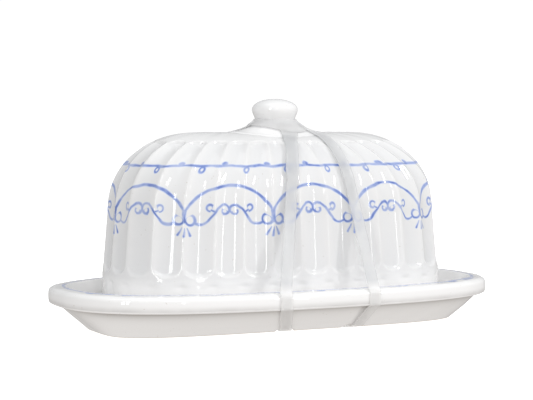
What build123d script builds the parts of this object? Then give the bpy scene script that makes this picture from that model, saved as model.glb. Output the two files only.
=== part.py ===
from build123d import *
import math
import os

# Covered butter dish: an oval footed plate, a fluted dome lid with a knob, and a flat
# elastic band that holds the lid down. Millimetres, +Z up, +X along the long axis.
# The origin is under the centre of the plate, on the surface that the foot stands on.

# ---- plate: sections are superellipses (half length, half width) ----
PLATE_HALF_LENGTH = 105.0
PLATE_HALF_WIDTH = 54.0
PLATE_ROUNDNESS = 2.65
FOOT_HALF_LENGTH = 86.5
FOOT_HALF_WIDTH = 30.0
FOOT_ROUNDNESS = 4.0
FOOT_RING_WIDTH = 5.5
FOOT_RECESS = 6.5
FLOOR_Z = 12.0
FLOOR_HALF_LENGTH = 90.0
FLOOR_HALF_WIDTH = 42.8
RIM_UNDER_Z = 12.1
RIM_UNDER_INSET = 1.8
RIM_EDGE_Z = 13.4
RIM_SHOULDER_Z = 18.2
RIM_SHOULDER_INSET = 0.3
RIM_TOP_Z = 19.4
RIM_TOP_INSET = 2.0
RIM_LIP_Z = 19.8
RIM_LIP_INSET = 8.7
NOTCH_DEPTH = 1.3
NOTCH_WIDTH = 9.0
SECTION_POINTS = 96
OUTLINE_STEPS = 2400

# ---- lid ----
LID_HALF_LENGTH = 80.5
LID_HALF_WIDTH = 41.0
LID_ROUNDNESS = 2.8
CROWN_ROUNDNESS = 2.3
LIP_Z = 22.8
LIP_HEIGHT = 1.6
LIP_STEP = 1.0
WALL_TOP_Z = 52.0
WALL_DRAFT = 2.2
CROWN_Z = 87.7
CROWN_EXPONENT = 2.15
CROWN_LAST_INSET = 37.0
FLUTES = 30
FLUTE_DEPTH = 1.2
FLUTE_START_Z = 25.5
FLUTE_END_INSET = 22.5
FLUTE_RUN_OUT = 3.0
POINTS_PER_FLUTE = 6
WALL_LEVELS = 4
DOME_LEVELS = 14
WALL_THICKNESS = 4.5

# ---- knob ----
KNOB_RADIUS = 10.6
KNOB_WIDEST_Z = 97.6
KNOB_TOP_Z = 102.6
KNOB_CAP_LEVELS = 6
NECK_RADIUS = 8.6
NECK_Z = 92.6
FLARE_RADIUS = 11.5
FLARE_Z = 89.6
# The boss under the knob, as (half length, half width, height) of its sections.
BOSS_EDGE = (19.5, 13.2, 87.7)
BOSS_FOOT = (37.0, 16.5, 84.0)

# ---- band ----
BAND_WIDTH = 5.8
BAND_THICKNESS = 0.5
BAND_GAP = 0.3
BAND_LOW_Z = 0.2
BAND_LEAVES_LID_INSET = 5.6
BAND_DOME_STEPS = 8
BAND_RISE_AT_NECK = 1.2
NECK_TURNS_TOP = 1.2
NECK_TURNS_WAIST = 0.6
NECK_TURNS_FLARE_RISE = 0.8
NECK_TURNS_FLARE_INSET = 1.2
NECK_TURNS_REACH = 1.6
# Each front strand as plan points at the knob, the rim and the foot. The back has the same
# two strands turned half a turn about the knob.
FRONT_STRANDS = [
    ((0.6, -9.5), (-21.0, -54.0), (-10.5, -31.8)),
    ((13.0, -1.0), (22.0, -54.0), (25.5, -31.8)),
]


def superellipse(half_length, half_width, roundness, count):
    """Points at equal arc steps round one section, from the front centre towards +X."""
    outline = []
    for index in range(OUTLINE_STEPS + 1):
        angle = 2 * math.pi * index / OUTLINE_STEPS - math.pi / 2
        cosine = math.cos(angle)
        sine = math.sin(angle)
        x = math.copysign(half_length * abs(cosine) ** (2 / roundness), cosine)
        y = math.copysign(half_width * abs(sine) ** (2 / roundness), sine)
        outline.append((x, y))
    travelled = [0.0]
    for start, end in zip(outline, outline[1:]):
        travelled.append(travelled[-1] + math.dist(start, end))
    points = []
    step = 0
    for index in range(count):
        target = travelled[-1] * index / count
        while travelled[step + 1] < target:
            step += 1
        share = (target - travelled[step]) / (travelled[step + 1] - travelled[step])
        x = outline[step][0] + share * (outline[step + 1][0] - outline[step][0])
        y = outline[step][1] + share * (outline[step + 1][1] - outline[step][1])
        points.append((x, y))
    return points


def fluted(points, depth):
    """Push each point inwards by the scoop depth at its place between two ridges."""
    count = len(points)
    scooped = []
    for index, (x, y) in enumerate(points):
        after = points[(index + 1) % count]
        before = points[index - 1]
        tangent_x = after[0] - before[0]
        tangent_y = after[1] - before[1]
        length = math.hypot(tangent_x, tangent_y)
        across = (index / POINTS_PER_FLUTE + 0.5) % 1.0
        scoop = depth * math.sin(math.pi * across)
        scooped.append((x - tangent_y / length * scoop, y + tangent_x / length * scoop))
    return scooped


def section(points, z):
    """A flat face at height z inside a smooth closed curve through the points."""
    parameters = [index / len(points) for index in range(len(points) + 1)]
    curve = Edge.make_spline([(x, y, z) for x, y in points], periodic=True, parameters=parameters)
    return Face(Wire([curve]))


def stack(sections):
    """A solid through a column of faces."""
    return loft(sections, ruled=True)


def plate_section(half_length, half_width, z, roundness=PLATE_ROUNDNESS):
    return section(superellipse(half_length, half_width, roundness, SECTION_POINTS), z)


def foot_section(inset, z):
    return plate_section(FOOT_HALF_LENGTH - inset, FOOT_HALF_WIDTH - inset, z, FOOT_ROUNDNESS)


def rim_section(inset, z):
    return plate_section(PLATE_HALF_LENGTH - inset, PLATE_HALF_WIDTH - inset, z)


def crown_z(inset):
    """Height of the lid's outside where its outline has moved in by inset."""
    if inset <= WALL_DRAFT:
        return LIP_Z + (WALL_TOP_Z - LIP_Z) * inset / WALL_DRAFT
    reach = LID_HALF_WIDTH - WALL_DRAFT
    run = max(0.0, 1 - (inset - WALL_DRAFT) / reach)
    rise = (1 - run ** CROWN_EXPONENT) ** (1 / CROWN_EXPONENT)
    return WALL_TOP_Z + (CROWN_Z - WALL_TOP_Z) * rise


def lid_outline(inset, count, shrink=0.0):
    crown_share = min(1.0, max(0.0, inset / LID_HALF_WIDTH))
    roundness = LID_ROUNDNESS + (CROWN_ROUNDNESS - LID_ROUNDNESS) * crown_share
    half_length = LID_HALF_LENGTH - inset - shrink
    half_width = LID_HALF_WIDTH - inset - shrink
    return superellipse(half_length, half_width, roundness, count)


def flute_depth(inset):
    """Scoops run out to nothing at the lip and at the plain crown."""
    from_lip = (crown_z(inset) - LIP_Z) / (FLUTE_START_Z - LIP_Z)
    from_end = (FLUTE_END_INSET - inset) / FLUTE_RUN_OUT
    return FLUTE_DEPTH * max(0.0, min(1.0, from_lip, from_end))


def crown_insets():
    """Insets from the lip to the top, close together where the dome turns."""
    wall = [WALL_DRAFT * level / WALL_LEVELS for level in range(WALL_LEVELS + 1)]
    reach = CROWN_LAST_INSET - WALL_DRAFT
    dome = []
    for level in range(1, DOME_LEVELS + 1):
        turn = math.pi / 2 * level / DOME_LEVELS
        dome.append(WALL_DRAFT + reach * (1 - math.cos(turn)))
    return wall + dome


def lid_outside():
    count = FLUTES * POINTS_PER_FLUTE
    faces = [section(lid_outline(LIP_STEP, count), FLOOR_Z)]
    faces.append(section(lid_outline(LIP_STEP, count), LIP_Z - LIP_HEIGHT))
    for inset in crown_insets():
        faces.append(section(fluted(lid_outline(inset, count), flute_depth(inset)), crown_z(inset)))
    return stack(faces)


def lid_inside():
    count = SECTION_POINTS
    faces = [section(lid_outline(LIP_STEP, count, WALL_THICKNESS - LIP_STEP), FLOOR_Z - 1)]
    for inset in crown_insets():
        if inset + WALL_THICKNESS < CROWN_LAST_INSET - 1:
            level = crown_z(inset) - WALL_THICKNESS * min(1.0, inset / WALL_DRAFT / 2)
            faces.append(section(lid_outline(inset, count, WALL_THICKNESS), level))
    return stack(faces)


def plate():
    rings = [
        foot_section(0.0, 0.0),
        rim_section(RIM_UNDER_INSET, RIM_UNDER_Z),
        rim_section(0.0, RIM_EDGE_Z),
        rim_section(RIM_SHOULDER_INSET, RIM_SHOULDER_Z),
        rim_section(RIM_TOP_INSET, RIM_TOP_Z),
        rim_section(RIM_LIP_INSET, RIM_LIP_Z),
    ]
    lip_half_length = PLATE_HALF_LENGTH - RIM_LIP_INSET
    lip_half_width = PLATE_HALF_WIDTH - RIM_LIP_INSET
    well = [
        plate_section(FLOOR_HALF_LENGTH, FLOOR_HALF_WIDTH, FLOOR_Z),
        plate_section(lip_half_length, lip_half_width, RIM_LIP_Z),
        plate_section(lip_half_length, lip_half_width, RIM_LIP_Z + 1),
    ]
    recess = [
        foot_section(FOOT_RING_WIDTH, -1.0),
        foot_section(FOOT_RING_WIDTH, FOOT_RECESS),
    ]
    body = stack(rings) - stack(well) - stack(recess)
    for start, end in band_runs():
        body -= flat_run(start, end, NOTCH_WIDTH, -1.0, NOTCH_DEPTH, NOTCH_WIDTH / 2)
    return body


def knob_body():
    """Cap, neck and boss, still reaching down into the lid."""
    outline = [
        (FLARE_RADIUS, FLARE_Z),
        (NECK_RADIUS, NECK_Z),
        ((NECK_RADIUS + KNOB_RADIUS) / 2, (NECK_Z + KNOB_WIDEST_Z) / 2),
    ]
    for level in range(KNOB_CAP_LEVELS + 1):
        angle = math.pi / 2 * level / KNOB_CAP_LEVELS
        z = KNOB_WIDEST_Z + (KNOB_TOP_Z - KNOB_WIDEST_Z) * math.sin(angle)
        outline.append((KNOB_RADIUS * math.cos(angle), z))
    closing = Polyline((0.0, KNOB_TOP_Z), (0.0, FLARE_Z), (FLARE_RADIUS, FLARE_Z))
    cap = revolve(Plane.XZ * make_face(Spline(*outline) + closing), Axis.Z)
    levels = [BOSS_FOOT, BOSS_EDGE, (FLARE_RADIUS, FLARE_RADIUS, FLARE_Z)]
    boss = stack([section(superellipse(a, b, 2, SECTION_POINTS), z) for a, b, z in levels])
    return cap + boss


def flat_run(start, end, width, low, high, overlap):
    """A flat bar between two plan points, longer by overlap at each end."""
    length = math.dist(start, end) + 2 * overlap
    heading = math.degrees(math.atan2(end[1] - start[1], end[0] - start[0]))
    middle = ((start[0] + end[0]) / 2, (start[1] + end[1]) / 2, (low + high) / 2)
    return Pos(*middle) * Rot(0, 0, heading) * Box(length, width, high - low)


def offset_line(profile, distance):
    """The profile moved sideways, with mitred corners."""
    normals = []
    for start, end in zip(profile, profile[1:]):
        length = math.dist(start, end)
        normals.append(((end[1] - start[1]) / length, (start[0] - end[0]) / length))
    moved = []
    for index, (reach, z) in enumerate(profile):
        before = normals[max(0, index - 1)]
        after = normals[min(index, len(normals) - 1)]
        total = (before[0] + after[0], before[1] + after[1])
        scale = distance * 2 / (total[0] ** 2 + total[1] ** 2)
        moved.append((reach + total[0] * scale, z + total[1] * scale))
    return moved


def ribbon(start, end, profile):
    """A strap over a profile of (distance from the long axis, height) between two plan points."""
    span = math.dist(start, end)
    heading = ((end[0] - start[0]) / span, (end[1] - start[1]) / span)
    stretch = span / abs(end[1] - start[1])
    loop = profile + list(reversed(offset_line(profile, BAND_THICKNESS)))
    side_view = [((reach - abs(start[1])) * stretch, z) for reach, z in loop]
    side = Plane(origin=(*start, 0), x_dir=(*heading, 0), z_dir=(heading[1], -heading[0], 0))
    face = side * make_face(Polyline(*side_view, close=True))
    return extrude(face, BAND_WIDTH / 2 * stretch, dir=(1, 0, 0), both=True)


def over_the_lid(start_reach):
    """Band profile from the turns round the neck over the dome, down to the rim and under it."""
    profile = [
        (start_reach, FLARE_Z + BAND_RISE_AT_NECK),
        (FLARE_RADIUS + BAND_GAP, FLARE_Z + BAND_GAP),
        (BOSS_EDGE[1] + BAND_GAP, BOSS_EDGE[2] + 2 * BAND_GAP),
    ]
    first_inset = LID_HALF_WIDTH - BOSS_FOOT[1] - 1
    for step in range(BAND_DOME_STEPS + 1):
        inset = first_inset + (BAND_LEAVES_LID_INSET - first_inset) * step / BAND_DOME_STEPS
        slope = (crown_z(inset + 0.1) - crown_z(inset - 0.1)) / 0.2
        length = math.hypot(slope, 1)
        reach = LID_HALF_WIDTH - inset + BAND_GAP * slope / length
        profile.append((reach, crown_z(inset) + BAND_GAP / length))
    profile.append((PLATE_HALF_WIDTH - RIM_TOP_INSET + BAND_GAP, RIM_TOP_Z + BAND_GAP))
    profile.append((PLATE_HALF_WIDTH - RIM_SHOULDER_INSET + BAND_GAP, RIM_SHOULDER_Z + BAND_GAP))
    profile.append((PLATE_HALF_WIDTH + BAND_GAP, RIM_EDGE_Z))
    profile.append(under_rim_point())
    return list(reversed(profile))


def under_rim_point():
    return (PLATE_HALF_WIDTH - RIM_UNDER_INSET + BAND_GAP, RIM_UNDER_Z - 2 * BAND_GAP)


def under_the_rim(foot_reach):
    """Band profile from the foot up to the rim, long enough to run into the part above it."""
    low = (foot_reach, BAND_LOW_Z + BAND_THICKNESS)
    high = under_rim_point()
    share = 1 + BAND_THICKNESS / math.dist(low, high)
    return [low, (low[0] + (high[0] - low[0]) * share, low[1] + (high[1] - low[1]) * share)]


def band_runs():
    """Plan ends of the two straight runs under the plate."""
    return [(foot, (-foot[0], -foot[1])) for knob, rim, foot in FRONT_STRANDS]


def neck_ring():
    """The band's turns round the neck, lying on the flare."""
    inner = [
        (NECK_RADIUS + 2 * BAND_GAP, NECK_Z + NECK_TURNS_TOP),
        (NECK_RADIUS + 2 * BAND_GAP, NECK_Z - NECK_TURNS_WAIST),
        (FLARE_RADIUS - NECK_TURNS_FLARE_INSET + BAND_GAP, FLARE_Z + NECK_TURNS_FLARE_RISE + BAND_GAP),
        (FLARE_RADIUS + NECK_TURNS_REACH + BAND_GAP, FLARE_Z + BAND_GAP),
    ]
    outer = offset_line(inner, -BAND_THICKNESS)
    return revolve(Plane.XZ * make_face(Polyline(*inner, *reversed(outer), close=True)), Axis.Z)


def retaining_band():
    band = neck_ring()
    for knob, rim, foot in FRONT_STRANDS:
        upper = ribbon(knob, rim, over_the_lid(abs(knob[1])))
        strand = upper + ribbon(foot, rim, under_the_rim(abs(foot[1])))
        band += strand + Rot(0, 0, 180) * strand
    for start, end in band_runs():
        high = BAND_LOW_Z + BAND_THICKNESS
        band += flat_run(start, end, BAND_WIDTH, BAND_LOW_Z, high, BAND_WIDTH / 4)
    return band


def build():
    outside = lid_outside()
    knob = knob_body() - outside
    shell = outside - lid_inside()
    return {
        "plate": plate(),
        "lid_shell": shell,
        "lid_knob": knob,
        "retaining_band": retaining_band(),
    }


os.makedirs("parts", exist_ok=True)
for name, solid in build().items():
    export_step(solid, f"parts/{name}.step")
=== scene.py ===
import functools
import math

import bpy
import numpy as np
from mathutils import Matrix, Vector


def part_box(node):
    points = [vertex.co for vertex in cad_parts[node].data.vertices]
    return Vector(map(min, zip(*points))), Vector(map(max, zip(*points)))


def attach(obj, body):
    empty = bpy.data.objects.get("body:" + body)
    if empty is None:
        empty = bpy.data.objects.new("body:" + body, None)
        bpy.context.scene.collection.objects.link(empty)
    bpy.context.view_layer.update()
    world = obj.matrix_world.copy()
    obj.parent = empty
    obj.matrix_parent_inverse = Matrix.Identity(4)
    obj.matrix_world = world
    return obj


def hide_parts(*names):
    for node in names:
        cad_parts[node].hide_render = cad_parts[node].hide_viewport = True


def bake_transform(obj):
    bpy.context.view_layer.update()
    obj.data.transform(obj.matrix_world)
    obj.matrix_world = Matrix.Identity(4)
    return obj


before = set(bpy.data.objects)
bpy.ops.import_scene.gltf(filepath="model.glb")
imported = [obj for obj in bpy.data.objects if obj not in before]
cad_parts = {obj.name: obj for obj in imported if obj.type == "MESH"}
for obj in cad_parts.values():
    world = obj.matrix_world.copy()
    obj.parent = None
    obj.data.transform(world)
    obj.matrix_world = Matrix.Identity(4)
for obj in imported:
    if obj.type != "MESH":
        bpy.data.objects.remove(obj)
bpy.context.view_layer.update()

# Shapes are worked out in millimetres and become metres when a mesh is made.
MM = 0.001
RANDOM = np.random.default_rng(20)

# ---- sizes read from the frame ----
_, plate_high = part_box("plate")
shell_low, shell_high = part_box("lid_shell")
_, knob_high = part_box("lid_knob")
PLATE_HALF_LENGTH = plate_high.x / MM
PLATE_HALF_WIDTH = plate_high.y / MM
RIM_HEIGHT = plate_high.z / MM
LID_HALF_LENGTH = shell_high.x / MM
LID_HALF_WIDTH = shell_high.y / MM
LID_BASE_Z = shell_low.z / MM
CROWN_Z = shell_high.z / MM
KNOB_TOP_Z = knob_high.z / MM

# ---- lid ----
LID_ROUNDNESS = 2.8
CROWN_ROUNDNESS = 2.3
LIP_Z = 22.8
WALL_TOP_Z = 52.0
WALL_DRAFT = 2.2
DOME_REACH = LID_HALF_WIDTH - WALL_DRAFT
CROWN_EXPONENT = 2.15
WALL_THICKNESS = 4.5
FLUTES = 30
COLUMNS_PER_FLUTE = 20
FLUTE_DEPTH = 1.35
FLUTE_UNEVENNESS = 0.1
RIDGE_SOFTNESS = 0.035
RIDGE_CROWDING = 0.55
SCOOP_WAVES = 15
FLUTE_START_Z = 25.4
FLUTE_START_RISE = 3.4
FLUTE_START_RUN = 2.4
FLUTE_END_INSET = 22.8
FLUTE_END_DROP = 2.6
FLUTE_END_RUN = 1.5
BASE_RECESS = 0.2
BASE_RECESS_TOP_Z = 24.6
BASE_RECESS_RUN = 4.2
BASE_VALLEY = 0.3
BASE_VALLEY_WIDTH = 0.22
BASE_DIP = 0.22
BASE_DIP_Z = 22.0
BASE_DIP_WIDTH = 0.2
BASE_DIP_TALL = 1.1
BASE_POOLING = 0.35
LID_WAVES = 0.12
LID_FINE_WAVES = 0.05
LID_SUNK = 0.17
# Degrees turned in from the wall of each row of the dome, closest where the flutes end.
DOME_TURNS = np.concatenate([np.linspace(89.3, 67, 14), np.linspace(66.5, 56.5, 22), np.linspace(55, 0, 36)])
# Height of each row of the wall, closest where the flutes begin.
WALL_HEIGHTS = np.concatenate([np.linspace(50, 31, 9), np.linspace(30, 21, 27), np.linspace(20, 14, 5)])
# Inwards and up from the foot of the wall, for each row of the edge that the lid stands on.
EDGE_STEPS = [(0.0, 1.2), (0.25, 0.5), (0.7, 0.12), (1.3, 0.0), (2.6, 0.0), (3.2, 0.15), (3.5, 0.7)]
INNER_INSETS = [0.0, 0.8, 1.6, 2.2, 3.2, 5, 7.5, 11, 15, 20, 25, 30, 34]

# ---- painted border on the lid ----
UNPAINTED_Z = -50
CELLS = 10
CELL_WIDTH = 39.2
BEADS_PER_CELL = 1.8
BEAD_WIDTH = CELL_WIDTH / BEADS_PER_CELL

# ---- plate ----
PLATE_ROUNDNESS = 2.65
FOOT_ROUNDNESS = 4.0
FOOT_HALF_LENGTH = 86.5
FOOT_HALF_WIDTH = 30.0
PLATE_COLUMNS = 480
FLOOR_Z = 12.0
RECESS_Z = 6.5
UNDER_RIM_Z = 12.1
UNDER_RIM_INSET = 2.8
RIM_INNER_INSET = 8.2
FOOT_RING_WIDTH = 5.5
NOTCH_DEPTH = 1.3
NOTCH_HALF_WIDTH = 4.5
NOTCH_RUN = 1.2
BARE_FOOT_Z = 0.35
PLATE_ROW_SPACING = 2.2
PLATE_WAVES = 0.16
PLATE_FINE_WAVES = 0.06
PLATE_WAVES_BELOW = 0.7
PLATE_SUNK = 0.22
PLATE_PAINT_LENGTH = 100
# Where the plate is darker: low in the well, from pooled glaze and painted shade, and across the rim's top.
WELL_POOLING_AND_SHADE_RISE = 5
RIM_TOP_DARKENING = 0.6
RIM_TOP_DARKENING_INSET = 5.5
RIM_TOP_DARKENING_WIDTH = 2.6
# Painted shade under the rim: where it is darkest and how fast it fades downwards.
PAINTED_SHADE_TOP_Z = 12.4
PAINTED_SHADE_DECAY = 1.7

# ---- knob ----
KNOB_RADIUS = 10.6
KNOB_WIDEST_Z = 97.6
CAP_FULLNESS = 0.92
CAP_TURNS = np.radians(np.concatenate([np.linspace(88, 10, 18), [0, -8]]))
# Radius and height down the neck, from under the cap to the start of the flare.
NECK = [(10.3, 96.0), (9.75, 94.8), (9.3, 93.6), (9.3, 92.6), (9.95, 91.8), (10.6, 91.2)]
CREASE_TOP_Z = 93.8
CREASE_FOOT_Z = 90.5
CREASE_RUN = 2
FLARE_START_RADIUS = 11.2
FLARE_START_Z = 90.9
FLARE_HALF_LENGTH = 23.0
FLARE_HALF_WIDTH = 15.0
FLARE_EDGE = 0.25
FLARE_EDGE_RUN = 0.5
FLARE_CURL = 2.3
FLARE_SHARES = np.concatenate([np.linspace(0, 0.94, 20), [0.97, 0.99, 1.0]])
KNOB_COLUMNS = 160
KNOB_WAVES = 0.1

# ---- band ----
BAND_WIDTH = 5.8
BAND_THICKNESS = 0.55
BAND_GAP = 0.12
# From the ceramic to the middle of the band's thickness.
BAND_CLEARANCE = BAND_GAP + BAND_THICKNESS / 2
BELT_COLUMNS = 200
BELT_START = 2.7
BELT_WIDTH = 0.92
BELT_WIDENING = 0.5
BELT_WIDEST = math.radians(-52)
BELT_STEP = 0.08
BELT_SMOOTHINGS = 3
STRAND_ROWS_PER_SPAN = 14
# A strand starts wider: by this share on both sides, and by a fillet on its -X side.
STRAND_SPREAD = 0.3
STRAND_SPREAD_DECAY = 2.2
STRAND_FILLET = 4.2
STRAND_FILLET_DECAY = 4.0
STRAND_END_THICKNESS = 0.4
STRAND_END_ROWS = 30
STRAND_TWIST_ROWS = 10
STRAND_ROW_SPACING = 2.5
HUMP_RADIUS = 8
UNDER_FOOT_Z = BAND_CLEARANCE - 0.1
RIM_SLIP = 0.4
RIM_REACHES = [1.0, 1.0, 0.9, 0.7, 2.5]
# Painted light on the band: from about the rim down, and round the neck.
BAND_PAINTED_LIGHT_Z = 23.5
BAND_PAINTED_LIGHT_RUN = 4
NECK_PAINTED_LIGHT = 0.55
NECK_PAINTED_LIGHT_Z = 84
NECK_PAINTED_LIGHT_RUN = 6


def superellipse(half_length, half_width, roundness, shares):
    """Plan points at these shares of the way round, from the front centre towards +X."""
    angle = np.linspace(0, 2 * np.pi, 4801) - np.pi / 2
    cosine = np.cos(angle)
    sine = np.sin(angle)
    x = half_length * np.sign(cosine) * np.abs(cosine) ** (2 / roundness)
    y = half_width * np.sign(sine) * np.abs(sine) ** (2 / roundness)
    travelled = np.concatenate([[0], np.cumsum(np.hypot(np.diff(x), np.diff(y)))])
    travelled /= travelled[-1]
    return np.stack([np.interp(shares, travelled, x), np.interp(shares, travelled, y)], axis=-1)


def smoothstep(value):
    """From 0 to 1 as the value goes from 0 to 1, level at both ends."""
    clamped = np.clip(value, 0, 1)
    return clamped * clamped * (3 - 2 * clamped)


def spline(points, steps):
    """A smooth line through the points, steps samples from each point to the next."""
    points = np.array(points, float)
    padded = np.vstack([2 * points[0] - points[1], points, 2 * points[-1] - points[-2]])
    share = np.arange(steps)[:, None] / steps
    spans = []
    for a, b, c, d in zip(padded, padded[1:], padded[2:], padded[3:]):
        curve = 2 * b + (c - a) * share + (2 * a - 5 * b + 4 * c - d) * share**2
        spans.append((curve + (3 * b - a - 3 * c + d) * share**3) / 2)
    return np.vstack([*spans, points[-1:]])


def rounded(points, reaches, steps=6):
    """The polyline with each inner corner rounded over its reach."""
    points = np.array(points, float)
    line = [points[0]]
    for before, corner, after, reach in zip(points, points[1:], points[2:], reaches):
        start = corner + (before - corner) * reach / np.linalg.norm(before - corner)
        end = corner + (after - corner) * reach / np.linalg.norm(after - corner)
        for share in np.linspace(0, 1, steps):
            line.append(start * (1 - share) ** 2 + 2 * corner * share * (1 - share) + end * share**2)
    line.append(points[-1])
    return np.array(line)


def evenly(line, spacing):
    """The line with extra points so that none are further apart than spacing."""
    filled = [line[0]]
    for start, end in zip(line, line[1:]):
        span = np.linalg.norm(end - start)
        if span < 1e-3:
            continue
        count = max(1, math.ceil(span / spacing))
        for share in np.arange(1, count + 1) / count:
            filled.append(start + (end - start) * share)
    return np.array(filled)


def grid_normals(grid, wrap):
    """Unit normals of a grid of points whose rows run down or outwards and columns towards +X."""
    if wrap:
        padded = np.concatenate([grid[:, -1:], grid, grid[:, :1]], axis=1)
        along = padded[:, 2:] - padded[:, :-2]
    else:
        along = np.gradient(grid, axis=1)
    down = np.gradient(grid, axis=0)
    normal = np.cross(down, along)
    return normal / np.maximum(np.linalg.norm(normal, axis=-1, keepdims=True), 1e-9)


def grid_faces(rows, columns):
    """Quads between neighbouring rows of a grid whose last column meets its first."""
    row, column = np.meshgrid(np.arange(rows - 1), np.arange(columns), indexing="ij")
    after = (column + 1) % columns
    upper = row * columns
    lower = (row + 1) * columns
    quads = [upper + column, lower + column, lower + after, upper + after]
    return np.stack(quads, axis=-1).reshape(-1, 4)


def zipped(columns, first_vertex, flip):
    """Faces that close a row by joining each front point to the back point across from it."""
    faces = []
    for column in range(-columns // 4, columns // 4):
        corners = [column, column + 1, columns // 2 - column - 1, columns // 2 - column]
        corners = [first_vertex + corner % columns for corner in corners]
        corners = list(dict.fromkeys(corners))
        faces.append(corners[::-1] if flip else corners)
    return faces


def add_object(name, points, faces):
    """A smooth-shaded mesh object from points in millimetres."""
    mesh = bpy.data.meshes.new(name)
    mesh.from_pydata((np.asarray(points).reshape(-1, 3) * MM).tolist(), [], faces)
    mesh.polygons.foreach_set("use_smooth", [True] * len(mesh.polygons))
    piece = bpy.data.objects.new(name, mesh)
    bpy.context.scene.collection.objects.link(piece)
    return piece


def closed_shell(name, grid):
    """A closed piece from rows that start at its top centre and end at its underside centre."""
    rows, columns = grid.shape[:2]
    faces = grid_faces(rows, columns).tolist()
    faces += zipped(columns, 0, flip=False)
    faces += zipped(columns, (rows - 1) * columns, flip=True)
    return add_object(name, grid, faces)


def add_map(piece, name, across, along, columns):
    """A UV map that is across by column share and along by row, in millimetres."""
    mesh = piece.data
    layer = mesh.uv_layers.new(name=name)
    corners = np.zeros(len(mesh.loops), int)
    mesh.loops.foreach_get("vertex_index", corners)
    u = across[corners % columns]
    v = along.reshape(-1)[corners] if along.size > len(along) else along[corners // columns]
    starts = np.zeros(len(mesh.polygons), int)
    totals = np.zeros(len(mesh.polygons), int)
    mesh.polygons.foreach_get("loop_start", starts)
    mesh.polygons.foreach_get("loop_total", totals)
    face = np.repeat(np.arange(len(starts)), totals)
    highest = np.full(len(starts), -np.inf)
    np.maximum.at(highest, face, u)
    period = across[1] - across[0] + across[-1] - across[0]
    crosses = highest[face] - u > period / 2
    u = np.where(crosses, u + round(period), u)
    layer.data.foreach_set("uv", np.stack([u, v], axis=-1).astype(np.float32).ravel())


def add_value(piece, name, values):
    """A number at each point, for the piece's material."""
    attribute = piece.data.attributes.new(name, "FLOAT", "POINT")
    attribute.data.foreach_set("value", np.asarray(values, np.float32).ravel())


def ripple(shares, heights, size, waves=(3, 5, 8, 13)):
    """Slow uneven waves round and up a hand-finished surface, between -size and size."""
    total = np.zeros(np.broadcast(shares, heights).shape)
    for wave in waves:
        phase, tilt = RANDOM.uniform(0, 2 * np.pi, 2)
        total += np.sin(2 * np.pi * wave * shares + phase + heights / 9.0 * math.cos(tilt)) / len(waves)
    return size * total


# ---- making: lid ----


def dome_level(turn):
    """Inset and height where the dome has turned this many degrees in from the wall."""
    angle = np.radians(turn)
    run = np.cos(angle) ** (2 / CROWN_EXPONENT)
    rise = np.sin(angle) ** (2 / CROWN_EXPONENT)
    return WALL_DRAFT + DOME_REACH * (1 - run), WALL_TOP_Z + (CROWN_Z - WALL_TOP_Z) * rise


def dome_height(inset):
    """Height of the lid's unfluted outside where its outline has moved in by inset."""
    run = np.clip(1 - (inset - WALL_DRAFT) / DOME_REACH, 0, 1)
    rise = (1 - run**CROWN_EXPONENT) ** (1 / CROWN_EXPONENT)
    wall = LIP_Z + (WALL_TOP_Z - LIP_Z) * inset / WALL_DRAFT
    return np.where(inset < WALL_DRAFT, wall, WALL_TOP_Z + (CROWN_Z - WALL_TOP_Z) * rise)


def lid_height(x, y):
    """Height of the lid's unfluted outside over a plan point."""
    low = np.zeros(np.broadcast(x, y).shape)
    high = np.full(low.shape, LID_HALF_WIDTH - 0.01)
    for _ in range(40):
        inset = (low + high) / 2
        roundness = LID_ROUNDNESS + (CROWN_ROUNDNESS - LID_ROUNDNESS) * inset / LID_HALF_WIDTH
        along = np.abs(x / (LID_HALF_LENGTH - inset)) ** roundness
        across = np.abs(y / (LID_HALF_WIDTH - inset)) ** roundness
        reach = along + across
        low = np.where(reach < 1, inset, low)
        high = np.where(reach < 1, high, inset)
    return dome_height((low + high) / 2)


def lid_outline(inset, shares, shrink=0.0):
    """The lid's plan outline moved in by inset, rounder towards the crown, and by shrink."""
    share = min(1.0, max(0.0, inset / LID_HALF_WIDTH))
    roundness = LID_ROUNDNESS + (CROWN_ROUNDNESS - LID_ROUNDNESS) * share
    return superellipse(LID_HALF_LENGTH - inset - shrink, LID_HALF_WIDTH - inset - shrink, roundness, shares)


def flute_places():
    """Place across its flute, 0 and 1 on the ridges, of each column, closer together at ridges."""
    even = np.arange(COLUMNS_PER_FLUTE) / COLUMNS_PER_FLUTE
    crowded = (1 - np.cos(np.pi * even)) / 2
    return (1 - RIDGE_CROWDING) * even + RIDGE_CROWDING * crowded


def scoop(across):
    """Depth across a flute, from 0 on its softened ridges to 1 in the middle."""

    def hollow(place):
        total = np.full(np.shape(place), 2 / 3)
        for wave in range(1, SCOOP_WAVES):
            softened = math.exp(-2 * (math.pi * wave * RIDGE_SOFTNESS) ** 2)
            total = total - 4 / (math.pi * wave) ** 2 * softened * np.cos(2 * np.pi * wave * place)
        return total

    return (hollow(across) - hollow(0.0)) / (hollow(0.5) - hollow(0.0))


def lid_levels():
    """Inset and height of each row of the outside, from the top down to the foot of the wall."""
    dome = [dome_level(turn) for turn in DOME_TURNS]
    wall = [(max(0.0, WALL_DRAFT * (z - LIP_Z) / (WALL_TOP_Z - LIP_Z)), z) for z in WALL_HEIGHTS]
    return np.array(dome + wall)


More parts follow.
